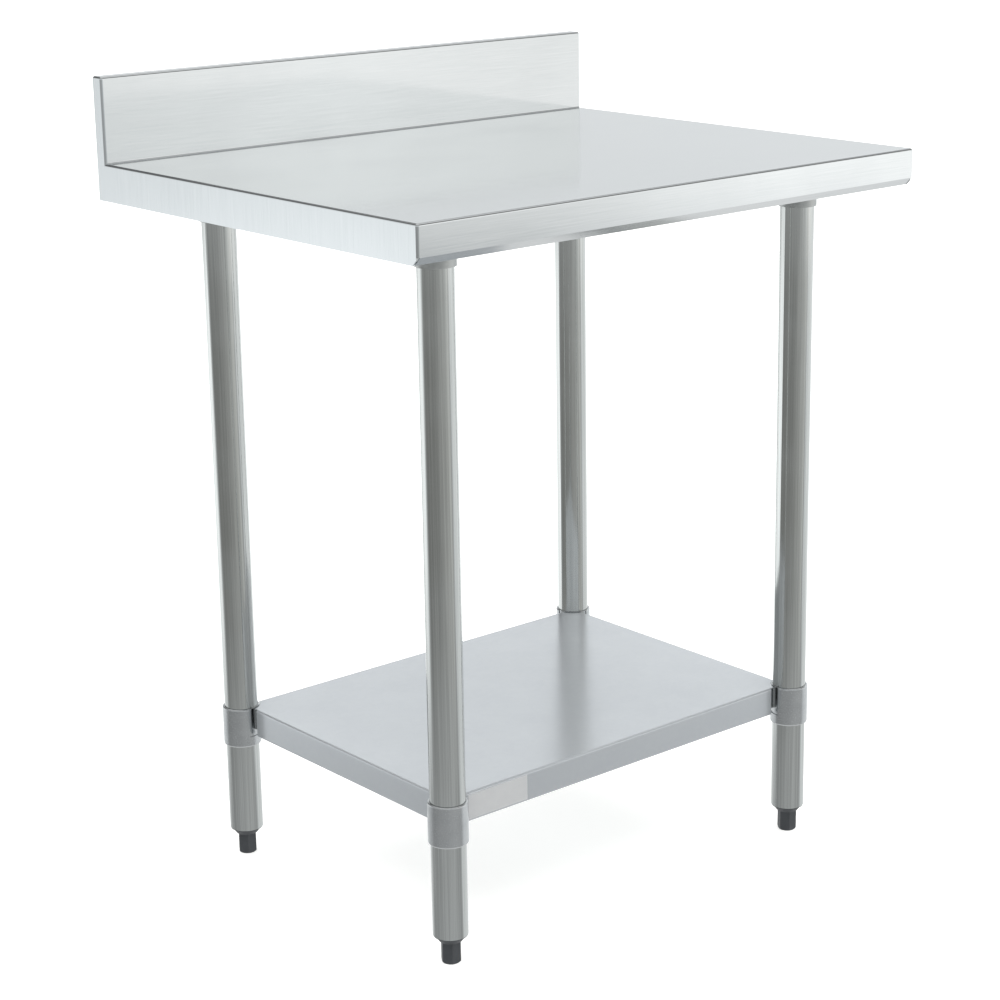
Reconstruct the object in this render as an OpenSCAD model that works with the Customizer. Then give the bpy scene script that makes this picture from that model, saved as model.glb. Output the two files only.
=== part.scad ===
// Stainless work table with a backsplash, a galvanised undershelf and four adjustable feet.
// Frame: +X runs to the right along the front edge, +Y to the backsplash, +Z up.
// The origin lies on the floor under the middle of the table's outline.

/* [Worktop] */
// Width of the worktop, left to right
table_w = 750; // [600:10:1500]
// Depth of the worktop, front edge to the back of the backsplash
table_d = 610; // [520:10:760]
// Height of the work surface above the floor
top_z = 873; // [800:1:950]
// Thickness of the stainless sheet
sheet_t = 1.2; // [0.9:0.1:1.6]
// Outside radius of the sheet's folds
fold_r = 3; // [2.5:0.5:5]

/* [Front edge] */
// Height of the upright face
face_h = 35; // [25:1:45]
// Height of the 45 degree return below the face
return_h = 9; // [6:1:14]
// Depth of the flat lip behind the return
lip_d = 12; // [8:1:20]

/* [Backsplash] */
// Height above the work surface
splash_h = 102; // [50:1:150]
// Depth from the face to the back
splash_t = 20; // [16:1:40]
// Height of the flange that is turned down at the back
splash_flange_h = 14; // [8:1:40]

/* [Channels under the worktop] */
// Height of the channels
hat_h = 26; // [18:1:30]
// Thickness of the galvanised sheet
hat_t = 1.5; // [1:0.1:2]
// Width of the crown that carries two legs
leg_hat_w = 84; // [80:1:100]
// Width of the middle channel's crown
mid_hat_w = 50; // [30:1:60]
// Width of the flanges
hat_flange_w = 18; // [16:1:24]
// Gap from a channel's end to the end panel
hat_end_gap = 8; // [2:1:20]
// Thickness of the damping tape on the flanges
tape_t = 1; // [0.5:0.1:2]
// Diameter of the weld studs
stud_d = 5; // [4:1:6]
// Distance between the outer studs of a flange
stud_span = 560; // [300:10:560]
// Number of studs on each flange
stud_count = 3; // [2:1:6]

/* [Leg sockets] */
// Side of the square plate
plate_w = 76; // [74:1:78]
// Thickness of the plate
plate_t = 3; // [2:0.5:5]
// Wall of the sleeve that holds the leg
socket_wall = 2.4; // [2:0.1:4]
// Length of the sleeve below the plate
socket_h = 36; // [25:1:50]
// Radial clearance between leg and sleeve
socket_gap = 0.1; // [0.05:0.05:0.2]
// Distance of the plate's bolts from the leg axis, along X and along Y
bolt_reach = 29; // [28:0.5:30]
// Diameter of the plate's bolts
bolt_d = 6; // [5:1:6]

/* [Legs] */
// Outside diameter of the tube
leg_d = 41.3; // [38:0.1:45]
// Wall of the tube
leg_wall = 1.2; // [1:0.1:2]
// Distance of a leg axis from the worktop's end
leg_inset_x = 97.5; // [80:0.5:150]
// Distance of the front leg axes from the front edge
leg_inset_front = 95; // [95:1:130]
// Distance of the rear leg axes from the back
leg_inset_rear = 106; // [95:1:130]
// Height of the tube's lower end above the floor
leg_z = 34.6; // [30:0.1:60]

/* [Undershelf] */
// Height of the shelf's upper face
shelf_z = 196.3; // [120:0.1:500]
// Thickness of the galvanised shelf sheet
shelf_t = 1.2; // [0.9:0.1:1.6]
// Outside radius of the shelf's folds
shelf_fold_r = 2.5; // [2:0.5:4]
// Height of the turned-down edges
shelf_edge_h = 35.5; // [25:0.5:50]
// Depth of the lip turned in below each edge
shelf_lip_d = 10; // [6:1:14]
// Distance of the edge faces inside the leg axes
shelf_inset = 2.7; // [0:0.1:6]
// Distance from a leg axis at which the turned-down edges start
shelf_relief = 29; // [27:0.5:40]
// Height of the stiffening channel
rib_h = 20; // [10:1:24]
// Width of the stiffening channel's crown
rib_w = 60; // [30:1:100]
// Gap between the stiffening channel and the lips at its ends
rib_end_gap = 3; // [1:1:10]

/* [Collars] */
// Outside diameter of the sleeve
collar_d = 46.6; // [46:0.1:54]
// Height of the sleeve
collar_h = 50; // [44:1:60]
// Height of the sleeve's rim above the shelf
collar_rise = 1.2; // [0:0.1:4]
// Radial clearance between sleeve and leg
collar_gap = 0.3; // [0.3:0.05:0.6]
// Height of the full ring below the shelf's edge
ring_h = 13; // [8:1:18]
// Depth of the pocket that faces the shelf
pocket_depth = 1.1; // [0.5:0.1:1.5]
// Angle of the pocket about the leg axis
pocket_angle = 110; // [80:1:120]
// Radius of the sleeve's rims
rim_r = 2; // [0.5:0.1:2.2]
// Length of the two arms under the shelf, from the leg axis
arm_len = 62; // [45:1:90]
// Thickness of the arms and of the web between them
arm_t = 3; // [2:0.5:5]
// Height of the arms
arm_h = 28; // [22:1:30]
// Distance of the arms behind the shelf's edge faces
arm_setback = 6; // [4:0.5:10]
// Diameter of the boss that holds the set screw
boss_d = 15; // [13:0.5:18]
// Distance of the boss's face from the leg axis
boss_reach = 36; // [32:1:44]

/* [Set screws] */
// Diameter of the screws
grub_d = 8; // [6:1:8]
// Width across flats of the hexagon socket
grub_key = 4; // [3:0.5:4]
// Depth of the hexagon socket
grub_key_depth = 4; // [2:0.5:5]

/* [Feet] */
// Length of the plug in the tube
plug_h = 25; // [20:1:40]
// Radial clearance between plug and tube
plug_gap = 0.05; // [0.02:0.01:0.1]
// Height of the tapered part below the tube
taper_h = 8; // [5:0.5:12]
// Diameter of the taper's lower end
taper_d = 27; // [26:0.5:30]
// Width of the foot's hexagon across flats
foot_key = 21; // [18:0.5:22]
// Height of the chamfer around the foot's sole
foot_chamfer = 2; // [1:0.5:3]
// Diameter of the threaded stem
stem_d = 10; // [8:1:12]
// Thread pitch
stem_pitch = 2; // [1.5:0.25:2.5]
// Depth of the thread
thread_depth = 0.8; // [0.5:0.1:1]
// Radial clearance between stem and plug
stem_gap = 0.1; // [0.05:0.01:0.1]
// Number of thread turns on the stem
stem_turns = 17; // [14:1:22]

/* [Label] */
// Width of the blank label
label_w = 88; // [40:1:120]
// Height of the label
label_h = 30; // [15:1:30]
// Thickness of the label
label_t = 0.3; // [0.1:0.1:0.5]
// Distance of the label's left end from the left leg axis
label_start = 32; // [30:1:200]

/* [Hidden] */
$fn = 64;

// Outline of the worktop
half_w = table_w / 2;
front_y = -table_d / 2;
back_y = table_d / 2;
splash_y = back_y - splash_t;
splash_z = top_z + splash_h;
face_z = top_z - face_h;
edge_z = face_z - return_h;
// Extra size of a cutting body, so that it passes through its piece
over = 1;

// Legs
leg_r = leg_d / 2;
leg_x = half_w - leg_inset_x;
front_leg_y = front_y + leg_inset_front;
rear_leg_y = back_y - leg_inset_rear;

// Channels and what stacks below the worktop
hat_top_z = top_z - sheet_t - tape_t;
hat_crown_z = hat_top_z - hat_h;
hat_len = table_w - 2 * (sheet_t + hat_end_gap);
mid_y = (front_leg_y + rear_leg_y) / 2;
plate_z = hat_crown_z - plate_t;
socket_z = plate_z - socket_h;
socket_r = leg_r + socket_gap + socket_wall;
socket_screw_z = plate_z - socket_h / 2;
socket_boss_len = 6;
socket_boss_reach = socket_r + socket_boss_len;
// Depth of the boss's root in the sleeve's wall, from the leg's surface
boss_root = 1;

// Fasteners
nut_h = 4;
screw_clearance = 0.3;
thread_fit = 0.05;
// Width across flats, and height of a bolt head, for each mm of thread diameter
key_ratio = 1.6;
head_ratio = 0.65;
// Length of a stud or bolt past its nut, and of a set screw past its boss
thread_proud = 2;
screw_proud = 1;

// Undershelf
shelf_x = leg_x - shelf_inset;
shelf_front_y = front_leg_y + shelf_inset;
shelf_back_y = rear_leg_y - shelf_inset;
shelf_under_z = shelf_z - shelf_t;
shelf_mid_y = (shelf_front_y + shelf_back_y) / 2;
shelf_d = shelf_back_y - shelf_front_y;
edge_run_x = 2 * (leg_x - shelf_relief);
edge_run_y = rear_leg_y - front_leg_y - 2 * shelf_relief;

// Collars
collar_r = collar_d / 2;
collar_z = shelf_z + collar_rise - collar_h;
collar_bore_r = leg_r + collar_gap;
collar_screw_z = shelf_under_z - arm_t - boss_d / 2;

// Feet
insert_z = leg_z - taper_h;
plug_r = leg_r - leg_wall - plug_gap;
flange_r = leg_r - leg_wall / 2;
flange_t = 1;
// Step from the plug to the top of its taper
taper_step = 0.6;
stem_r = stem_d / 2;

// Corners of the leg rectangle: name suffix order is front left, front right, rear left, rear right
corners = [[-1, -1], [1, -1], [-1, 1], [1, 1]];
hat_rows = [
    [front_leg_y, leg_hat_w],
    [mid_y, mid_hat_w],
    [rear_leg_y, leg_hat_w]
];

function corner_x(c) = c[0] * leg_x;
function corner_y(c) = c[1] < 0 ? front_leg_y : rear_leg_y;
function stud_x(i) = stud_span * (i / (stud_count - 1) - 0.5);
function stud_reach(w) = w / 2 + hat_flange_w / 2;

// ---- Shared shapes ----

// Rectangle between two opposite corners
module span_2d(a, b) {
    translate(a)
        square(b - a);
}

// Quarter of a ring of sheet, from the given angle on
module fold_2d(r, t, angle) {
    intersection() {
        difference() {
            circle(r);
            circle(r - t);
        }
        rotate(angle)
            square(r + over);
    }
}

// Extrudes a YZ outline along X, centred
module along_x(length) {
    rotate([90, 0, 90])
        linear_extrude(length, center = true)
            children();
}

// Puts a piece that is drawn for an inward +X +Y corner at one leg
module at_corner(c) {
    translate([corner_x(c), corner_y(c), 0])
        mirror([c[0] > 0 ? 1 : 0, 0, 0])
            mirror([0, c[1] > 0 ? 1 : 0, 0])
                children();
}

// Cylinder along the inward diagonal of a corner, from one distance to another
module diagonal_rod(r, from, to, z) {
    translate([0, 0, z])
        rotate([0, 90, 45])
            translate([0, 0, from])
                cylinder(r = r, h = to - from);
}

// Hexagon nut or head of a given width across flats
module hexagon(key, h) {
    cylinder(d = key / cos(30), h = h, $fn = 6);
}

// Channel outline with its flanges' upper face on the X axis
module hat_2d(w, h, t, flange) {
    r = 2 * t;
    span_2d([-w / 2 + r, -h], [w / 2 - r, -h + t]);
    for (side = [0, 1])
        mirror([side, 0]) {
            translate([w / 2 - r, -h + r])
                fold_2d(r, t, 270);
            span_2d([w / 2 - t, -h + r], [w / 2, -r]);
            translate([w / 2 - t + r, -r])
                fold_2d(r, t, 90);
            span_2d([w / 2 - t + r, -t], [w / 2 + flange, 0]);
        }
}

// Set screw along the inward diagonal, with a hexagon socket in its outer end
module set_screw(tip, tail, z) {
    difference() {
        diagonal_rod(grub_d / 2, tip, tail, z);
        translate([0, 0, z])
            rotate([0, 90, 45])
                translate([0, 0, tail - grub_key_depth])
                    hexagon(grub_key, grub_key_depth + over);
    }
}

// ---- Worktop ----

module worktop_2d() {
    inner_r = fold_r - sheet_t;
    mitre = sheet_t * tan(22.5);
    span_2d([front_y + fold_r, top_z - sheet_t], [splash_y - inner_r, top_z]);
    translate([front_y + fold_r, top_z - fold_r])
        fold_2d(fold_r, sheet_t, 90);
    polygon([
        [front_y, top_z - fold_r],
        [front_y, face_z],
        [front_y + return_h, edge_z],
        [front_y + return_h + lip_d, edge_z],
        [front_y + return_h + lip_d, edge_z + sheet_t],
        [front_y + return_h + mitre, edge_z + sheet_t],
        [front_y + sheet_t, face_z + mitre],
        [front_y + sheet_t, top_z - fold_r]
    ]);
    translate([splash_y - inner_r, top_z + inner_r])
        fold_2d(fold_r, sheet_t, 270);
    span_2d([splash_y, top_z + inner_r], [splash_y + sheet_t, splash_z - fold_r]);
    translate([splash_y + fold_r, splash_z - fold_r])
        fold_2d(fold_r, sheet_t, 90);
    span_2d([splash_y + fold_r, splash_z - sheet_t], [back_y - fold_r, splash_z]);
    translate([back_y - fold_r, splash_z - fold_r])
        fold_2d(fold_r, sheet_t, 0);
    span_2d([back_y - sheet_t, splash_z - fold_r - splash_flange_h], [back_y, splash_z - fold_r]);
}

module worktop_sheet() {
    color("gainsboro")
        along_x(table_w - 2 * fold_r)
            worktop_2d();
}

// Folded edge of the left end panel that runs along Y at one height
module end_fold_y(y0, y1, z) {
    translate([-half_w + fold_r, y0, z - fold_r])
        rotate([-90, 0, 0])
            mirror([0, 1, 0])
                linear_extrude(y1 - y0)
                    fold_2d(fold_r, sheet_t, 90);
}

// Folded upright edge of the left end panel
module end_fold_z(y, z0, z1, angle) {
    translate([-half_w + fold_r, y, z0])
        linear_extrude(z1 - z0)
            fold_2d(fold_r, sheet_t, angle);
}

// Rounded corner where three folds of the left end panel meet
module end_corner(y, z, side) {
    translate([-half_w + fold_r, y, z - fold_r])
        intersection() {
            difference() {
                sphere(fold_r);
                sphere(fold_r - sheet_t);
            }
            mirror([1, 0, 0])
                mirror([0, side < 0 ? 1 : 0, 0])
                    cube(fold_r + over);
        }
}

module end_panel() {
    translate([-half_w + sheet_t / 2, 0, 0])
        along_x(sheet_t)
            polygon([
                [front_y + fold_r, top_z - fold_r],
                [front_y + fold_r, face_z - fold_r],
                [front_y + return_h, edge_z],
                [back_y - fold_r, edge_z],
                [back_y - fold_r, splash_z - fold_r],
                [splash_y + fold_r, splash_z - fold_r],
                [splash_y + fold_r, top_z - fold_r]
            ]);
    end_fold_y(front_y + fold_r, splash_y + fold_r, top_z);
    end_fold_y(splash_y + fold_r, back_y - fold_r, splash_z);
    end_fold_z(front_y + fold_r, face_z, top_z - fold_r, 180);
    end_fold_z(splash_y + fold_r, top_z - fold_r, splash_z - fold_r, 180);
    end_fold_z(back_y - fold_r, edge_z, splash_z - fold_r, 90);
    end_corner(front_y + fold_r, top_z, -1);
    end_corner(splash_y + fold_r, splash_z, -1);
    end_corner(back_y - fold_r, splash_z, 1);
}

module left_end_panel() {
    color("silver")
        end_panel();
}

module right_end_panel() {
    color("silver")
        mirror([1, 0, 0])
            end_panel();
}

// ---- Channels under the worktop ----

module at_studs(row) {
    for (i = [0:stud_count - 1])
        for (side = [-1, 1])
            translate([stud_x(i), row[0] + side * stud_reach(row[1]), 0])
                children();
}

module stud_holes(row) {
    at_studs(row)
        translate([0, 0, hat_crown_z])
            cylinder(d = stud_d + 2 * screw_clearance, h = hat_h + tape_t + over);
}

module at_plate_bolts() {
    for (x = [-bolt_reach, bolt_reach])
        for (y = [-bolt_reach, bolt_reach])
            translate([x, y, 0])
                children();
}

module plate_bolt_holes() {
    for (c = corners)
        at_corner(c)
            at_plate_bolts()
                translate([0, 0, plate_z - over])
                    cylinder(d = bolt_d + 2 * screw_clearance, h = plate_t + hat_t + 2 * over);
}

module hat_channel(row) {
    color("lightsteelblue")
        difference() {
            translate([0, row[0], hat_top_z])
                along_x(hat_len)
                    hat_2d(row[1], hat_h, hat_t, hat_flange_w);
            stud_holes(row);
            plate_bolt_holes();
        }
}

module damping_tape() {
    color("dimgray")
        for (row = hat_rows)
            difference() {
                for (side = [-1, 1])
                    translate([0, row[0] + side * stud_reach(row[1]), hat_top_z + tape_t / 2])
                        cube([hat_len, hat_flange_w - 3 * hat_t, tape_t], center = true);
                stud_holes(row);
            }
}

module weld_studs() {
    stud_len = tape_t + hat_t + nut_h + thread_proud;
    color("silver")
        for (row = hat_rows)
            at_studs(row)
                translate([0, 0, top_z - sheet_t - stud_len])
                    cylinder(d = stud_d, h = stud_len);
}

module stud_nuts() {
    color("darkgray")
        for (row = hat_rows)
            at_studs(row)
                translate([0, 0, hat_top_z - hat_t - nut_h])
                    difference() {
                        hexagon(key_ratio * stud_d, nut_h);
                        translate([0, 0, -over])
                            cylinder(d = stud_d + 2 * thread_fit, h = nut_h + 2 * over);
                    }
}

// ---- Leg sockets ----

module leg_socket(c) {
    weld_w = 3;
    color("silver")
        at_corner(c)
            difference() {
                union() {
                    translate([-plate_w / 2, -plate_w / 2, plate_z])
                        cube([plate_w, plate_w, plate_t]);
                    translate([0, 0, socket_z])
                        cylinder(r = socket_r, h = socket_h);
                    translate([0, 0, plate_z - weld_w])
                        cylinder(r1 = socket_r, r2 = socket_r + weld_w, h = weld_w);
                    diagonal_rod(boss_d / 2, leg_r + boss_root, socket_boss_reach, socket_screw_z);
                }
                translate([0, 0, socket_z - over])
                    cylinder(r = leg_r + socket_gap, h = socket_h + over);
                diagonal_rod(grub_d / 2 + thread_fit, 0, socket_boss_reach + over, socket_screw_z);
                at_plate_bolts()
                    translate([0, 0, plate_z - over])
                        cylinder(d = bolt_d + 2 * screw_clearance, h = plate_t + 2 * over);
            }
}

module socket_bolts() {
    head_h = head_ratio * bolt_d;
    shank_len = plate_t + hat_t + nut_h + thread_proud;
    color("silver")
        for (c = corners)
            at_corner(c)
                at_plate_bolts() {
                    translate([0, 0, plate_z - head_h])
                        hexagon(key_ratio * bolt_d, head_h);
                    translate([0, 0, plate_z - head_h / 2])
                        cylinder(d = bolt_d, h = shank_len + head_h / 2);
                }
}

module socket_nuts() {
    color("darkgray")
        for (c = corners)
            at_corner(c)
                at_plate_bolts()
                    translate([0, 0, hat_crown_z + hat_t])
                        difference() {
                            hexagon(key_ratio * bolt_d, nut_h);
                            translate([0, 0, -over])
                                cylinder(d = bolt_d + 2 * thread_fit, h = nut_h + 2 * over);
                        }
}

module socket_set_screws() {
    color("dimgray")
        for (c = corners)
            at_corner(c)
                set_screw(leg_r, socket_boss_reach + screw_proud, socket_screw_z);
}

// ---- Legs ----

module leg(c) {
    color("gainsboro")
        at_corner(c)
            translate([0, 0, leg_z])
                difference() {
                    cylinder(r = leg_r, h = plate_z - leg_z);
                    translate([0, 0, -over])
                        cylinder(r = leg_r - leg_wall, h = plate_z - leg_z + 2 * over);
                }
}

// ---- Undershelf ----

// Turned-down edge with its lip, drawn with its face towards -Y
module shelf_edge(length) {
    along_x(length) {
        translate([shelf_fold_r, -shelf_fold_r])
            fold_2d(shelf_fold_r, shelf_t, 90);
        span_2d([0, -shelf_edge_h + shelf_fold_r], [shelf_t, -shelf_fold_r]);
        translate([shelf_fold_r, -shelf_edge_h + shelf_fold_r])
            fold_2d(shelf_fold_r, shelf_t, 180);
        span_2d([shelf_fold_r, -shelf_edge_h], [shelf_fold_r + shelf_lip_d, -shelf_edge_h + shelf_t]);
    }
}

module undershelf() {
    notch_r = collar_r + screw_clearance;
    color("lightsteelblue")
        difference() {
            union() {
                translate([-shelf_x + shelf_fold_r, shelf_front_y + shelf_fold_r, shelf_under_z])
                    cube([
                        2 * (shelf_x - shelf_fold_r),
                        shelf_d - 2 * shelf_fold_r,
                        shelf_t
                    ]);
                translate([0, shelf_front_y, shelf_z])
                    shelf_edge(edge_run_x);
                translate([0, shelf_back_y, shelf_z])
                    rotate([0, 0, 180])
                        shelf_edge(edge_run_x);
                translate([-shelf_x, mid_y, shelf_z])
                    rotate([0, 0, -90])
                        shelf_edge(edge_run_y);
                translate([shelf_x, mid_y, shelf_z])
                    rotate([0, 0, 90])
                        shelf_edge(edge_run_y);
            }
            for (c = corners)
                translate([corner_x(c), corner_y(c), shelf_under_z - over])
                    cylinder(r = notch_r, h = shelf_t + 2 * over);
        }
}

module undershelf_stiffener() {
    rib_len = 2 * (shelf_x - shelf_fold_r - shelf_lip_d - rib_end_gap);
    color("lightsteelblue")
        translate([0, shelf_mid_y, shelf_under_z])
            along_x(rib_len)
                hat_2d(rib_w, rib_h, shelf_t, hat_flange_w);
}

module blank_label() {
    color("whitesmoke")
        translate([-leg_x + label_start, shelf_front_y - label_t, shelf_z - (shelf_edge_h + label_h) / 2])
            cube([label_w, label_t, label_h]);
}

// ---- Collars ----

// Outline of the sleeve's wall with both outer rims rounded
module sleeve_2d() {
    difference() {
        span_2d([collar_bore_r, 0], [collar_r, collar_h]);
        for (z = [0, collar_h])
            difference() {
                translate([collar_r, z])
                    square(2 * rim_r, center = true);
                translate([collar_r - rim_r, abs(z - rim_r)])
                    circle(rim_r);
            }
    }
}

// Two arms and the web that lie under the shelf's corner
module collar_arms() {
    near = shelf_inset + arm_setback;
    translate([0, 0, shelf_under_z - arm_t])
        linear_extrude(arm_t)
            polygon([
                [near, near],
                [arm_len, near],
                [arm_len, near + arm_t],
                [near + arm_t, arm_len],
                [near, arm_len]
            ]);
    translate([near, near, shelf_under_z - arm_h])
        cube([arm_len - near, arm_t, arm_h]);
    translate([near, near, shelf_under_z - arm_h])
        cube([arm_t, arm_len - near, arm_h]);
}

module shelf_collar(c) {
    color("darkgray")
        at_corner(c)
            difference() {
                union() {
                    difference() {
                        translate([0, 0, collar_z])
                            rotate_extrude()
                                sleeve_2d();
                        translate([0, 0, collar_z + ring_h])
                            rotate([0, 0, 45 - pocket_angle / 2])
                                rotate_extrude(angle = pocket_angle)
                                    translate([collar_r - pocket_depth, 0])
                                        square([pocket_depth + over, collar_h]);
                    }
                    collar_arms();
                    diagonal_rod(boss_d / 2, collar_bore_r, boss_reach, collar_screw_z);
                }
                translate([0, 0, collar_z - over])
                    cylinder(r = collar_bore_r, h = collar_h + 2 * over);
                diagonal_rod(grub_d / 2 + thread_fit, 0, boss_reach + over, collar_screw_z);
            }
}

module collar_set_screws() {
    color("dimgray")
        for (c = corners)
            at_corner(c)
                set_screw(collar_bore_r, boss_reach + screw_proud, collar_screw_z);
}

// ---- Feet ----

module foot_insert(c) {
    color("dimgray")
        at_corner(c)
            difference() {
                union() {
                    translate([0, 0, insert_z])
                        cylinder(d1 = taper_d, r2 = plug_r - taper_step, h = taper_h - flange_t);
                    translate([0, 0, leg_z - flange_t])
                        cylinder(r = flange_r, h = flange_t);
                    translate([0, 0, leg_z])
                        cylinder(r = plug_r, h = plug_h);
                }
                translate([0, 0, insert_z - over])
                    cylinder(r = stem_r + stem_gap, h = taper_h + plug_h + 2 * over);
            }
}

// Half outline of the stem: one notch per turn of the thread
module stem_2d() {
    root = stem_r - thread_depth;
    polygon(concat(
        [[0, 0], [root, 0]],
        [for (i = [0:stem_turns - 1]) each [
            [root, (i + 0.1) * stem_pitch],
            [stem_r, (i + 0.45) * stem_pitch],
            [stem_r, (i + 0.55) * stem_pitch],
            [root, (i + 0.9) * stem_pitch]
        ]],
        [[root, stem_turns * stem_pitch], [0, stem_turns * stem_pitch]]
    ));
}

module foot(c) {
    corner_r = foot_key / cos(30) / 2;
    color("dimgray")
        at_corner(c) {
            intersection() {
                hexagon(foot_key, insert_z);
                rotate_extrude()
                    polygon([
                        [0, 0],
                        [corner_r - foot_chamfer, 0],
                        [corner_r, foot_chamfer],
                        [corner_r, insert_z - foot_chamfer / 2],
                        [corner_r - foot_chamfer / 2, insert_z],
                        [0, insert_z]
                    ]);
            }
            translate([0, 0, insert_z])
                rotate_extrude()
                    stem_2d();
        }
}

worktop_sheet();
left_end_panel();
right_end_panel();
hat_channel(hat_rows[0]);  // front_hat_channel
hat_channel(hat_rows[1]);  // middle_hat_channel
hat_channel(hat_rows[2]);  // rear_hat_channel
damping_tape();
weld_studs();
stud_nuts();
leg_socket(corners[0]);  // leg_socket_front_left
leg_socket(corners[1]);  // leg_socket_front_right
leg_socket(corners[2]);  // leg_socket_rear_left
leg_socket(corners[3]);  // leg_socket_rear_right
socket_bolts();
socket_nuts();
socket_set_screws();
leg(corners[0]);  // leg_front_left
leg(corners[1]);  // leg_front_right
leg(corners[2]);  // leg_rear_left
leg(corners[3]);  // leg_rear_right
undershelf();
undershelf_stiffener();
shelf_collar(corners[0]);  // shelf_collar_front_left
shelf_collar(corners[1]);  // shelf_collar_front_right
shelf_collar(corners[2]);  // shelf_collar_rear_left
shelf_collar(corners[3]);  // shelf_collar_rear_right
collar_set_screws();
blank_label();
foot_insert(corners[0]);  // foot_insert_front_left
foot_insert(corners[1]);  // foot_insert_front_right
foot_insert(corners[2]);  // foot_insert_rear_left
foot_insert(corners[3]);  // foot_insert_rear_right
foot(corners[0]);  // foot_front_left
foot(corners[1]);  // foot_front_right
foot(corners[2]);  // foot_rear_left
foot(corners[3]);  // foot_rear_right
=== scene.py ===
import bpy
import bmesh
import math
from mathutils import Matrix

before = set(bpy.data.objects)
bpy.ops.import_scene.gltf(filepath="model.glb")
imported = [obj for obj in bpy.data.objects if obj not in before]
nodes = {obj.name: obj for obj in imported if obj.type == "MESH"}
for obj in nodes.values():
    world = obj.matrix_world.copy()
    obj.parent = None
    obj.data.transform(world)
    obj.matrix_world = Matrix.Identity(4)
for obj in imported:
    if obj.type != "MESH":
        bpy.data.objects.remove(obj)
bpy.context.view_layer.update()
print("frame loaded:", len(nodes), "nodes")


# camera

camera = {
    "place": (-1.8448, -2.1834, 1.2741),  # metres, in the frame of the part
    "turn": 39.93,  # degrees to the right of straight on
    "down": 15.39,
    "roll": 0.93,
    "lens": 87.12,  # mm
    "sensor": 36,  # mm
    "rise": -0.03,  # the small shift that the framing needs
    "sight": (0.05, 300),  # metres, nearest and farthest that it sees
}


def makeCamera(spec):
    data = bpy.data.cameras.new("camera")
    data.sensor_width = spec["sensor"]
    data.lens = spec["lens"]
    data.shift_y = spec["rise"]
    data.clip_start, data.clip_end = spec["sight"]
    thing = bpy.data.objects.new("camera", data)
    bpy.context.scene.collection.objects.link(thing)
    turn = Matrix.Rotation(-math.radians(spec["turn"]), 4, "Z")
    tilt = Matrix.Rotation(math.radians(90 - spec["down"]), 4, "X")
    roll = Matrix.Rotation(-math.radians(spec["roll"]), 4, "Z")
    thing.matrix_world = Matrix.Translation(spec["place"]) @ turn @ tilt @ roll
    bpy.context.scene.camera = thing


makeCamera(camera)
bpy.context.scene.view_settings.view_transform = "Standard"  # plain product-shot colour
print("camera placed")


# helpers for materials

noiseLow, noiseHigh = 0.3, 0.7  # nearly all of a noise's values lie between these


def linear(code):
    # sRGB hex to linear
    value = [int(code[i:i + 2], 16) / 255 for i in (1, 3, 5)]
    return [v / 12.92 if v <= 0.04045 else ((v + 0.055) / 1.055) ** 2.4 for v in value] + [1.0]


def addNode(tree, kind, settings, inputs):
    # a colour mix takes its colours at 6 and 7 and gives the result at 2
    node = tree.nodes.new("ShaderNode" + kind)
    for name, value in settings.items():
        if name == "stops":
            ramp = node.color_ramp
            while len(ramp.elements) < len(value):
                ramp.elements.new(0.5)
            for element, (place, shade) in zip(ramp.elements, value):
                element.position = place
                element.color = shade if hasattr(shade, "__len__") else (shade, shade, shade, 1)
        else:
            setattr(node, name, value)
    for name, value in inputs.items():
        if isinstance(value, bpy.types.NodeSocket):
            tree.links.new(value, node.inputs[name])
        else:
            node.inputs[name].default_value = value
    return node


def startMaterial(name):
    material = bpy.data.materials.new(name)
    material.use_nodes = True
    tree = material.node_tree
    tree.nodes.clear()
    place = addNode(tree, "TexCoord", {}, {}).outputs["Object"]
    return material, tree, place


def endMaterial(material, tree, surface):
    addNode(tree, "OutputMaterial", {}, {"Surface": surface.outputs[0]})
    return material


def perMetre(size):
    # noise scale whose cells are about this many mm across
    return 1000 / size


# stainless sheet: grade 304, brushed with a belt along one direction

brushedSheet = {
    "light": "#cfd2d3",
    "dark": "#c7cbcc",
    "grainWidth": 1.1,  # mm, real scratches are 0.05 mm and would not show
    "grainLength": 90,  # mm
    "fineWidth": 0.7,  # mm, the thin streaks between
    "fineLength": 31.5,
    "fineShare": 0.5,  # strength beside the main grain
    "toneSpan": (0.5, 1.0),  # grain values that give dark and light
    "smudge": 120,  # mm, wiped patches
    "smudgeSpan": (0.35, 0.68),
    "roughness": (0.075, 0.13),
    "streakRoughness": 0.03,  # the light streaks are this much duller
    "anisotropy": 0.45,
    "grainDepth": 0.0000025,  # m
    "waveDepth": 0.00008,  # m, sheet is never quite flat
    "wave": 210,  # mm
}


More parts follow.
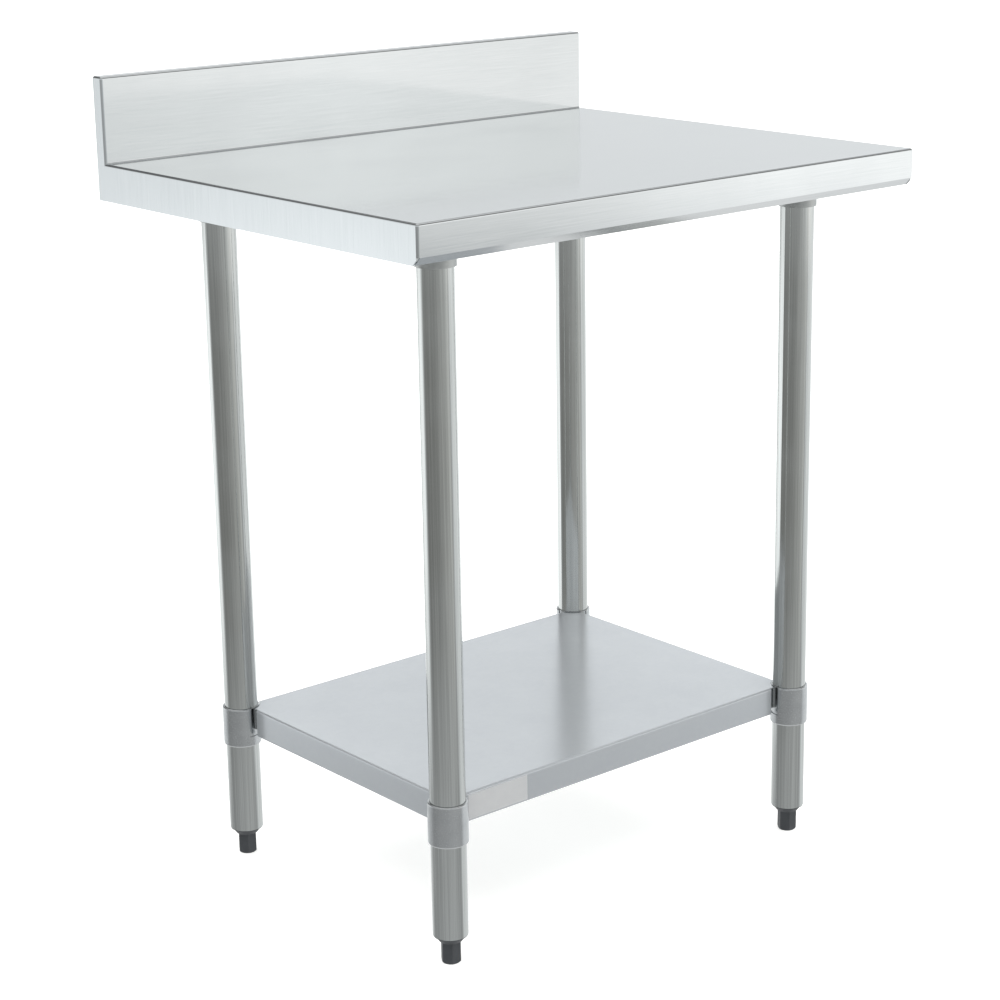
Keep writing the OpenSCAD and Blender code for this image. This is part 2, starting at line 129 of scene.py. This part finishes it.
def brushedStainless(name, spec, along):
    # brushed 304 sheet: soft streaks one way, reflections that blur with distance
    material, tree, place = startMaterial(name)
    axis = {"x": 0, "y": 1, "z": 2}[along]
    stretch = [perMetre(spec["grainWidth"])] * 3
    stretch[axis] = perMetre(spec["grainLength"])
    fine = [perMetre(spec["fineWidth"])] * 3
    fine[axis] = perMetre(spec["fineLength"])
    grainPlace = addNode(tree, "Mapping", {}, {"Vector": place, "Scale": stretch}).outputs[0]
    finePlace = addNode(tree, "Mapping", {}, {"Vector": place, "Scale": fine}).outputs[0]
    grain = addNode(tree, "TexNoise", {}, {
        "Vector": grainPlace, "Scale": 1.0, "Detail": 3.0, "Roughness": 0.6})
    streak = addNode(tree, "TexNoise", {}, {
        "Vector": finePlace, "Scale": 1.0, "Detail": 2.0, "Roughness": 0.7})
    smudge = addNode(tree, "TexNoise", {}, {
        "Vector": place, "Scale": perMetre(spec["smudge"]), "Detail": 3.0, "Roughness": 0.55})
    wave = addNode(tree, "TexNoise", {}, {"Vector": place, "Scale": perMetre(spec["wave"]), "Detail": 1.0})
    both = addNode(tree, "Math", {"operation": "MULTIPLY_ADD"}, {
        0: streak.outputs[0], 1: spec["fineShare"], 2: grain.outputs[0]})
    darkest, lightest = spec["toneSpan"]
    tone = addNode(tree, "MapRange", {}, {
        "Value": both.outputs[0], "From Min": darkest, "From Max": lightest, "To Min": 0.0, "To Max": 1.0})
    colour = addNode(tree, "Mix", {"data_type": "RGBA"}, {
        0: tone.outputs[0], 6: linear(spec["dark"]), 7: linear(spec["light"])})
    low, high = spec["roughness"]
    clean, smeared = spec["smudgeSpan"]
    wiped = addNode(tree, "MapRange", {}, {
        "Value": smudge.outputs[0], "From Min": clean, "From Max": smeared, "To Min": low, "To Max": high})
    rough = addNode(tree, "Math", {"operation": "MULTIPLY_ADD"}, {
        0: tone.outputs[0], 1: spec["streakRoughness"], 2: wiped.outputs[0]})
    waveBump = addNode(tree, "Bump", {}, {
        "Strength": 1.0, "Distance": spec["waveDepth"], "Height": wave.outputs[0]})
    grainBump = addNode(tree, "Bump", {}, {
        "Strength": 1.0, "Distance": spec["grainDepth"], "Height": both.outputs[0],
        "Normal": waveBump.outputs[0]})
    direction = [0.0, 0.0, 0.0]
    direction[axis] = 1.0
    tangent = addNode(tree, "CombineXYZ", {}, {0: direction[0], 1: direction[1], 2: direction[2]})
    surface = addNode(tree, "BsdfPrincipled", {}, {
        "Base Color": colour.outputs[2], "Metallic": 1.0, "Roughness": rough.outputs[0],
        "Anisotropic": spec["anisotropy"], "Normal": grainBump.outputs[0], "Tangent": tangent.outputs[0]})
    return endMaterial(material, tree, surface)


# stainless tube: belt polished along its length

polishedTube = {
    "light": "#dfe1df",
    "dark": "#a3a6a4",
    "grainWidth": 1.8,  # mm, drawn coarse so that it shows
    "grainLength": 260,
    "roughness": (0.10, 0.17),
    "anisotropy": 0.3,
    "grainDepth": 0.000012,  # m
    "handling": 70,  # mm, dull patches from handling
}


def polishedTubeStainless(name, spec):
    # polished 41 mm tube: long bright and dark bands with a faint lengthwise grain
    material, tree, place = startMaterial(name)
    across = perMetre(spec["grainWidth"])
    grainPlace = addNode(tree, "Mapping", {}, {
        "Vector": place, "Scale": [across, across, perMetre(spec["grainLength"])]}).outputs[0]
    grain = addNode(tree, "TexNoise", {}, {
        "Vector": grainPlace, "Scale": 1.0, "Detail": 4.0, "Roughness": 0.6})
    handled = addNode(tree, "TexNoise", {}, {
        "Vector": place, "Scale": perMetre(spec["handling"]), "Detail": 4.0})
    colour = addNode(tree, "Mix", {"data_type": "RGBA"}, {
        0: grain.outputs[0], 6: linear(spec["dark"]), 7: linear(spec["light"])})
    low, high = spec["roughness"]
    rough = addNode(tree, "MapRange", {}, {
        "Value": handled.outputs[0], "From Min": noiseLow, "From Max": noiseHigh,
        "To Min": low, "To Max": high})
    bump = addNode(tree, "Bump", {}, {
        "Strength": 1.0, "Distance": spec["grainDepth"], "Height": grain.outputs[0]})
    tangent = addNode(tree, "CombineXYZ", {}, {0: 0.0, 1: 0.0, 2: 1.0})
    surface = addNode(tree, "BsdfPrincipled", {}, {
        "Base Color": colour.outputs[2], "Metallic": 1.0, "Roughness": rough.outputs[0],
        "Anisotropic": spec["anisotropy"], "Normal": bump.outputs[0], "Tangent": tangent.outputs[0]})
    return endMaterial(material, tree, surface)


# galvanised sheet: hot dipped, skin passed, so its spangle is faint

galvanisedSheetSpec = {
    "light": "#cdd1d4",
    "dark": "#c7cbcf",
    "spangle": 6,  # mm across a zinc crystal
    "spangleShare": 0.25,
    "cloud": 55,  # mm, slow change of tone
    "toneSpan": (0.2, 1.05),
    "roughness": (0.19, 0.23),
    "rolled": 1.5,  # mm, roller lines
    "rolledLength": 120,
    "lineDepth": 0.00001,  # m
    "metallic": 0.46,  # the dull oxide skin scatters the rest
}


def galvanisedSheet(name, spec):
    # skin-passed galvanised steel: pale blue grey, faint crystals, soft wide reflections
    material, tree, place = startMaterial(name)
    crystals = addNode(tree, "TexVoronoi", {}, {"Vector": place, "Scale": perMetre(spec["spangle"])})
    speck = addNode(tree, "SeparateColor", {}, {0: crystals.outputs["Color"]})
    cloud = addNode(tree, "TexNoise", {}, {"Vector": place, "Scale": perMetre(spec["cloud"]), "Detail": 4.0})
    across = perMetre(spec["rolled"])
    rollPlace = addNode(tree, "Mapping", {}, {
        "Vector": place, "Scale": [perMetre(spec["rolledLength"]), across, across]})
    rolled = addNode(tree, "TexNoise", {}, {"Vector": rollPlace.outputs[0], "Scale": 1.0, "Detail": 2.0})
    tone = addNode(tree, "Math", {"operation": "MULTIPLY_ADD"}, {
        0: speck.outputs[0], 1: spec["spangleShare"], 2: cloud.outputs[0]})
    darkest, lightest = spec["toneSpan"]
    toneFit = addNode(tree, "MapRange", {}, {
        "Value": tone.outputs[0], "From Min": darkest, "From Max": lightest, "To Min": 0.0, "To Max": 1.0})
    colour = addNode(tree, "Mix", {"data_type": "RGBA"}, {
        0: toneFit.outputs[0], 6: linear(spec["dark"]), 7: linear(spec["light"])})
    low, high = spec["roughness"]
    rough = addNode(tree, "MapRange", {}, {
        "Value": toneFit.outputs[0], "From Min": 0.0, "From Max": 1.0, "To Min": high, "To Max": low})
    bump = addNode(tree, "Bump", {}, {
        "Strength": 1.0, "Distance": spec["lineDepth"], "Height": rolled.outputs[0]})
    surface = addNode(tree, "BsdfPrincipled", {}, {
        "Base Color": colour.outputs[2], "Metallic": spec["metallic"], "Roughness": rough.outputs[0],
        "Normal": bump.outputs[0]})
    return endMaterial(material, tree, surface)


# cast parts

castCollarSpec = {
    "light": "#c9cbcc",
    "dark": "#b5b8b9",
    "grit": 0.9,  # mm, shot-blast texture
    "gritDepth": 0.00006,  # m
    "gritStrength": 0.6,
    "cloud": 18,  # mm
    "roughness": (0.20, 0.28),
}


def blastedCastAluminium(name, spec):
    # die-cast aluminium, shot blasted: matt grey with a grainy skin and softly lit rims
    material, tree, place = startMaterial(name)
    grit = addNode(tree, "TexNoise", {}, {"Vector": place, "Scale": perMetre(spec["grit"]), "Detail": 3.0})
    cloud = addNode(tree, "TexNoise", {}, {"Vector": place, "Scale": perMetre(spec["cloud"]), "Detail": 3.0})
    colour = addNode(tree, "Mix", {"data_type": "RGBA"}, {
        0: cloud.outputs[0], 6: linear(spec["dark"]), 7: linear(spec["light"])})
    low, high = spec["roughness"]
    rough = addNode(tree, "MapRange", {}, {
        "Value": grit.outputs[0], "From Min": noiseLow, "From Max": noiseHigh, "To Min": low, "To Max": high})
    bump = addNode(tree, "Bump", {}, {
        "Strength": spec["gritStrength"], "Distance": spec["gritDepth"], "Height": grit.outputs[0]})
    surface = addNode(tree, "BsdfPrincipled", {}, {
        "Base Color": colour.outputs[2], "Metallic": 1.0, "Roughness": rough.outputs[0],
        "Normal": bump.outputs[0]})
    return endMaterial(material, tree, surface)


# fasteners

platedSteelSpec = {
    "light": "#c2c4c2",
    "dark": "#9da09f",
    "patch": 4,  # mm
    "roughness": (0.28, 0.45),
    "metallic": 1.0,
    "skinDepth": 0.00003,  # m
    "skinStrength": 0.4,
}

blackScrewSpec = {
    **platedSteelSpec,
    "light": "#2b2c2e",
    "dark": "#191a1b",
    "patch": 1.5,
    "roughness": (0.35, 0.55),
    "metallic": 0.6,
}


def platedSteel(name, spec):
    # zinc plate or black oxide over turned steel: slightly cloudy, small sharp glints
    material, tree, place = startMaterial(name)
    cloud = addNode(tree, "TexNoise", {}, {
        "Vector": place, "Scale": perMetre(spec["patch"]), "Detail": 4.0})
    colour = addNode(tree, "Mix", {"data_type": "RGBA"}, {
        0: cloud.outputs[0], 6: linear(spec["dark"]), 7: linear(spec["light"])})
    low, high = spec["roughness"]
    rough = addNode(tree, "MapRange", {}, {
        "Value": cloud.outputs[0], "From Min": noiseLow, "From Max": noiseHigh,
        "To Min": low, "To Max": high})
    bump = addNode(tree, "Bump", {}, {
        "Strength": spec["skinStrength"], "Distance": spec["skinDepth"], "Height": cloud.outputs[0]})
    surface = addNode(tree, "BsdfPrincipled", {}, {
        "Base Color": colour.outputs[2], "Metallic": spec["metallic"], "Roughness": rough.outputs[0],
        "Normal": bump.outputs[0]})
    return endMaterial(material, tree, surface)


# moulded and stuck-on parts

mouldedNylonSpec = {
    "light": "#4c4f53",
    "dark": "#383b3e",
    "grit": 0.8,  # mm
    "gritDepth": 0.00004,  # m
    "gritStrength": 0.5,
    "cloud": 14,  # mm
    "roughness": (0.42, 0.6),
}

butylTapeSpec = {
    **mouldedNylonSpec,
    "light": "#2a2a2b",
    "dark": "#1c1c1d",
    "grit": 2.5,
    "gritDepth": 0.0001,
    "roughness": (0.55, 0.75),
}

satinLabelSpec = {
    **mouldedNylonSpec,
    "light": "#dadbdb",
    "dark": "#d0d1d2",
    "grit": 6.0,
    "gritDepth": 0.00001,
    "roughness": (0.34, 0.42),
}


def mouldedPlastic(name, spec):
    # moulded or coated polymer: even colour, fine spark-eroded skin, broad soft highlights
    material, tree, place = startMaterial(name)
    grit = addNode(tree, "TexNoise", {}, {"Vector": place, "Scale": perMetre(spec["grit"]), "Detail": 3.0})
    cloud = addNode(tree, "TexNoise", {}, {"Vector": place, "Scale": perMetre(spec["cloud"]), "Detail": 2.0})
    colour = addNode(tree, "Mix", {"data_type": "RGBA"}, {
        0: cloud.outputs[0], 6: linear(spec["dark"]), 7: linear(spec["light"])})
    low, high = spec["roughness"]
    rough = addNode(tree, "MapRange", {}, {
        "Value": grit.outputs[0], "From Min": noiseLow, "From Max": noiseHigh, "To Min": low, "To Max": high})
    bump = addNode(tree, "Bump", {}, {
        "Strength": spec["gritStrength"], "Distance": spec["gritDepth"], "Height": grit.outputs[0]})
    surface = addNode(tree, "BsdfPrincipled", {}, {
        "Base Color": colour.outputs[2], "Roughness": rough.outputs[0], "Normal": bump.outputs[0]})
    return endMaterial(material, tree, surface)


topGrain = brushedStainless("brushed_stainless_long_grain", brushedSheet, "x")
endGrain = brushedStainless("brushed_stainless_upright_grain", brushedSheet, "z")
tubePolish = polishedTubeStainless("polished_tube_stainless", polishedTube)
shelfZinc = galvanisedSheet("galvanised_shelf_sheet", galvanisedSheetSpec)
channelZinc = galvanisedSheet("galvanised_channel_sheet", galvanisedSheetSpec)
collarCast = blastedCastAluminium("blasted_cast_aluminium", castCollarSpec)
socketPlate = platedSteel("zinc_plated_pressed_steel", platedSteelSpec)
fastenerZinc = platedSteel("zinc_plated_fastener", platedSteelSpec)
screwBlack = platedSteel("black_oxide_screw", blackScrewSpec)
footNylon = mouldedPlastic("moulded_glass_nylon", mouldedNylonSpec)
tapeButyl = mouldedPlastic("butyl_damping_tape", butylTapeSpec)
labelFilm = mouldedPlastic("satin_label_film", satinLabelSpec)

finish = {
    "stainless_top": topGrain,
    "stainless_tube": tubePolish,
    "socket_steel": socketPlate,
    "galvanised_channel": channelZinc,
    "galvanised_shelf": shelfZinc,
    "cast_collar": collarCast,
    "zinc_fastener": fastenerZinc,
    "black_screw": screwBlack,
    "foot_plastic": footNylon,
    "damping_tape": tapeButyl,
    "label": labelFilm,
}

for name, thing in nodes.items():
    for number, held in enumerate(thing.data.materials):
        own = finish[held.name.split(".")[0]]
        thing.material_slots[number].material = own
    if name.endswith("_end_panel"):
        thing.material_slots[0].material = endGrain
print("finishes set on", len(nodes), "nodes")


# floor

paperFloor = {
    "radius": 60.0,  # metres
    "sides": 96,
    "colour": "#f0f0ee",
    "glow": 0.66,
    "fibre": 300,  # mm
    "roughness": (0.8, 0.95),
    "specular": 0.2,
}


def makeFloor(spec):
    mesh = bpy.data.meshes.new("floor")
    shape = bmesh.new()
    bmesh.ops.create_circle(shape, cap_ends=True, segments=spec["sides"], radius=spec["radius"])
    shape.to_mesh(mesh)
    shape.free()
    thing = bpy.data.objects.new("floor", mesh)
    bpy.context.scene.collection.objects.link(thing)
    thing.visible_glossy = False  # metals mirror the light tent instead
    thing.visible_diffuse = False
    material, tree, place = startMaterial("white_paper_floor")
    fibre = addNode(tree, "TexNoise", {}, {
        "Vector": place, "Scale": perMetre(spec["fibre"]), "Detail": 2.0})
    low, high = spec["roughness"]
    rough = addNode(tree, "MapRange", {}, {
        "Value": fibre.outputs[0], "From Min": noiseLow, "From Max": noiseHigh,
        "To Min": low, "To Max": high})
    surface = addNode(tree, "BsdfPrincipled", {}, {
        "Base Color": linear(spec["colour"]), "Roughness": rough.outputs[0],
        "Specular IOR Level": spec["specular"],
        "Emission Color": linear(spec["colour"]), "Emission Strength": spec["glow"]})
    mesh.materials.append(endMaterial(material, tree, surface))


# light tent: what metals mirror and what lights the dull parts

cool = (0.975, 1.0, 1.015)
neutral = (1.005, 1.0, 0.99)
greenish = (0.99, 1.0, 0.975)

lightTent = {
    # each ring runs round the table: pairs of degrees and brightness, where 0 degrees is
    # the side of the camera's home place and 90 is the side to its right
    "floorRing": [(cool, [
        (-180, 1.1), (-140, 0.85), (-116, 0.4), (-84, 0.4), (-50, 0.49), (0, 0.54), (40, 0.57),
        (78, 0.44), (86, 0.46), (94, 0.85), (110, 0.95), (140, 0.92), (180, 1.1)])],
    "lowRing": [
        (cool, [(-180, 1.4), (-130, 1.4), (-112, 1.6), (-103, 1.5), (-95, 0.8), (-88, 0.45)]),
        (greenish, [(-82, 0.27), (-60, 0.27), (-8, 0.31), (15, 0.41), (55, 0.55), (68, 0.72)]),
        (cool, [(77, 0.5), (80, 0.55), (84, 0.95), (100, 1.0), (125, 1.05), (155, 1.4)])],
    "highRing": [
        (cool, [
            (-180, 0.77), (-135, 0.82), (-112, 1.02), (-103, 1.18), (-95, 0.9), (-88, 0.7),
            (-80, 0.5), (-8, 0.5), (15, 0.55), (45, 0.8), (64, 1.08)]),
        (neutral, [(70, 1.2), (76, 1.4), (79, 1.28), (82, 1.18), (85, 1.56), (90, 1.56)]),
        (cool, [(125, 1.05), (180, 0.77)])],
    "skyRing": [
        (cool, [(-180, 0.87), (-135, 0.93), (-112, 1.1), (-80, 0.85), (0, 0.8), (45, 0.95)]),
        (neutral, [(64, 1.22), (70, 1.33), (76, 1.53), (79, 1.44), (82, 1.34), (90, 1.5)]),
        (cool, [(125, 1.15), (180, 0.87)])],
    # heights are of a unit look direction: -1 is straight down, 1 is straight up
    "layers": [("lowRing", -0.41, -0.29), ("highRing", -0.20, -0.14), ("skyRing", -0.08, 0.05)],
    "lift": 1.3,  # the walls brighten by this much
    "liftSpan": (0.18, 0.32),
    # the wall in front is softer higher up, so the worktop still reads from behind
    "softened": [(-180, 1.0), (42, 1.0), (62, 0.36), (100, 0.36), (122, 1.0), (180, 1.0)],
    "softSpan": (0.20, 0.28),
    "wallTop": [
        (-180, 0.45), (-166, 0.45), (-150, 0.14), (-110, 0.14), (-80, 0.26), (0, 0.36), (45, 0.35),
        (68, 0.28), (92, 0.28), (112, 0.4), (140, 0.5), (160, 0.45), (180, 0.45)],
    "wallFade": 0.1,
    "ceiling": 0.2,
    "overhead": 0.85,
    "ceilingSpan": (0.5, 0.8),
    "under": 1.0,
    "underSpan": (-0.72, -0.5),
    "strength": 2.0,  # colours in the rings are halved to stay low, and this doubles them
}


def makeTent(spec, turn):
    world = bpy.data.worlds.new("light_tent")
    world.use_nodes = True
    bpy.context.scene.world = world
    tree = world.node_tree
    tree.nodes.clear()
    away = math.radians(turn)
    rightward = (math.cos(away), -math.sin(away), 0.0)
    backward = (-math.sin(away), -math.cos(away), 0.0)
    look = addNode(tree, "TexCoord", {}, {}).outputs["Generated"]
    height = addNode(tree, "SeparateXYZ", {}, {0: look}).outputs["Z"]
    toRight = addNode(tree, "VectorMath", {"operation": "DOT_PRODUCT"}, {0: look, 1: rightward})
    toBack = addNode(tree, "VectorMath", {"operation": "DOT_PRODUCT"}, {0: look, 1: backward})
    angle = addNode(tree, "Math", {"operation": "ARCTAN2"}, {
        0: toRight.outputs["Value"], 1: toBack.outputs["Value"]})
    share = addNode(tree, "MapRange", {}, {
        "Value": angle.outputs[0], "From Min": -math.pi, "From Max": math.pi, "To Min": 0.0, "To Max": 1.0})

    def place(degrees):
        return (degrees + 180) / 360

    def ring(name):
        return [
            (place(degrees), [value / spec["strength"] * t for t in tint] + [1])
            for tint, pairs in spec[name] for degrees, value in pairs]

    # the rings stand on each other and blend where they meet
    walls = addNode(tree, "ValToRGB", {"stops": ring("floorRing")}, {0: share.outputs[0]}).outputs[0]
    for name, start, end in spec["layers"]:
        layer = addNode(tree, "ValToRGB", {"stops": ring(name)}, {0: share.outputs[0]})
        rise = addNode(tree, "MapRange", {"interpolation_type": "SMOOTHSTEP"}, {
            "Value": height, "From Min": start, "From Max": end, "To Min": 0.0, "To Max": 1.0})
        walls = addNode(tree, "Mix", {"data_type": "RGBA"}, {
            0: rise.outputs[0], 6: walls, 7: layer.outputs[0]}).outputs[2]

    start, end = spec["liftSpan"]
    lift = addNode(tree, "MapRange", {"interpolation_type": "SMOOTHSTEP"}, {
        "Value": height, "From Min": start, "From Max": end, "To Min": 1.0, "To Max": spec["lift"]})
    raised = addNode(tree, "VectorMath", {"operation": "SCALE"}, {0: walls, "Scale": lift.outputs[0]})
    soft = addNode(tree, "ValToRGB", {
        "stops": [(place(degrees), value) for degrees, value in spec["softened"]]}, {0: share.outputs[0]})
    start, end = spec["softSpan"]
    highUp = addNode(tree, "MapRange", {"interpolation_type": "SMOOTHSTEP"}, {
        "Value": height, "From Min": start, "From Max": end, "To Min": 0.0, "To Max": 1.0})
    shade = addNode(tree, "Mix", {"data_type": "RGBA"}, {
        0: highUp.outputs[0], 6: (1, 1, 1, 1), 7: soft.outputs[0]})
    shaded = addNode(tree, "VectorMath", {"operation": "MULTIPLY"}, {
        0: raised.outputs[0], 1: shade.outputs[2]})

    # the roof begins where the wall ends
    wallTop = addNode(tree, "ValToRGB", {
        "stops": [(place(degrees), value) for degrees, value in spec["wallTop"]]}, {0: share.outputs[0]})
    aboveWall = addNode(tree, "Math", {"operation": "SUBTRACT"}, {0: height, 1: wallTop.outputs[0]})
    roofed = addNode(tree, "MapRange", {"interpolation_type": "SMOOTHSTEP"}, {
        "Value": aboveWall.outputs[0], "From Min": 0.0, "From Max": spec["wallFade"],
        "To Min": 0.0, "To Max": 1.0})
    start, end = spec["ceilingSpan"]
    roof = addNode(tree, "MapRange", {"interpolation_type": "SMOOTHSTEP"}, {
        "Value": height, "From Min": start, "From Max": end,
        "To Min": spec["ceiling"] / spec["strength"], "To Max": spec["overhead"] / spec["strength"]})
    capped = addNode(tree, "Mix", {"data_type": "RGBA"}, {
        0: roofed.outputs[0], 6: shaded.outputs[0], 7: roof.outputs[0]})
    start, end = spec["underSpan"]
    below = addNode(tree, "MapRange", {"interpolation_type": "SMOOTHSTEP"}, {
        "Value": height, "From Min": start, "From Max": end, "To Min": 1.0, "To Max": 0.0})
    under = spec["under"] / spec["strength"]
    whole = addNode(tree, "Mix", {"data_type": "RGBA"}, {
        0: below.outputs[0], 6: capped.outputs[2], 7: (under, under, under, 1)})

    # the camera sees plain white behind the table, everything else sees the tent
    seen = addNode(tree, "Background", {}, {"Color": (1, 1, 1, 1), "Strength": 1.0})
    felt = addNode(tree, "Background", {}, {"Color": whole.outputs[2], "Strength": spec["strength"]})
    ray = addNode(tree, "LightPath", {}, {})
    mixed = addNode(tree, "MixShader", {}, {
        0: ray.outputs["Is Camera Ray"], 1: felt.outputs[0], 2: seen.outputs[0]})
    addNode(tree, "OutputWorld", {}, {"Surface": mixed.outputs[0]})


softbox = {
    "strength": 1.9,
    "angle": 80,  # degrees across, a large softbox straight overhead
}


def makeSoftbox(spec):
    data = bpy.data.lights.new("overhead_softbox", "SUN")
    data.energy = spec["strength"]
    data.angle = math.radians(spec["angle"])
    thing = bpy.data.objects.new("overhead_softbox", data)
    thing.visible_glossy = False  # the tent holds what metals mirror
    bpy.context.scene.collection.objects.link(thing)


makeFloor(paperFloor)
makeTent(lightTent, camera["turn"])
makeSoftbox(softbox)
print("floor and light tent made")
